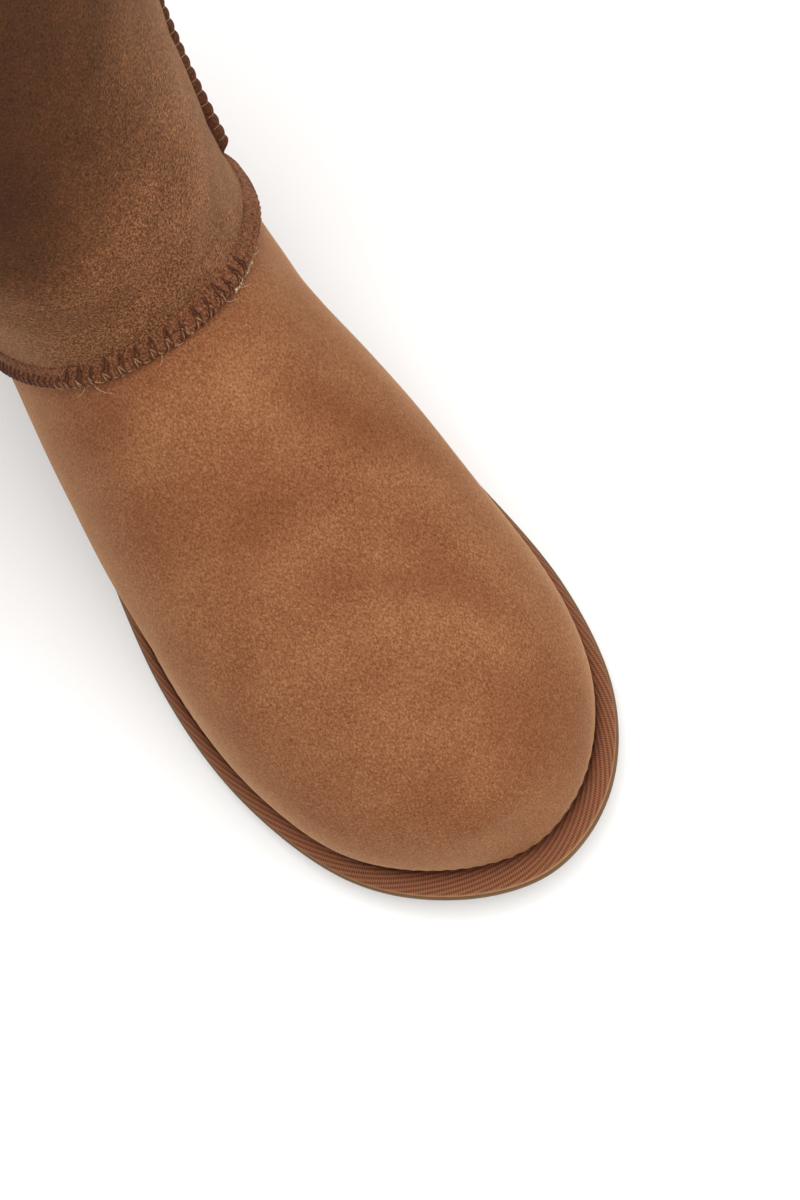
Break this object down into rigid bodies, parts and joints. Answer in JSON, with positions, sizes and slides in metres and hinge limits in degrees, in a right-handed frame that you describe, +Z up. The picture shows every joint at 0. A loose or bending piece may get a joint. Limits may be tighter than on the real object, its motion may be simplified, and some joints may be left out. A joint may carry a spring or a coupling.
{
  "type": "sheepskin boot",
  "caption": "Right sheepskin pull-on boot: suede vamp and shaft panels, overlocked seams, heel counter, woven welt tape, fleece insole and a thin treaded outsole.",
  "frame": {"origin": "middle of the boot's outline on the floor it stands on", "axes": "+Z up from the floor, -Y towards the toe, +X towards the big-toe side"},
  "size_m": [0.1086, 0.2648, 0.208],
  "materials": {
    "outsole": "matte",
    "tape": "woven twill",
    "fleece": "clipped wool",
    "suede_vamp": "suede nap",
    "suede_shaft": "suede nap",
    "seam": "overlocked suede"
  },
  "bodies": {
    "root": {"outsole": "outsole", "welt_tape": "tape", "insole": "fleece", "upper_vamp": "suede_vamp", "shaft_front": "suede_shaft", "shaft_back": "suede_shaft", "heel_counter": "suede_vamp", "vamp_seam": "seam", "side_seam_medial": "seam", "side_seam_lateral": "seam"}
  },
  "joints": []
}
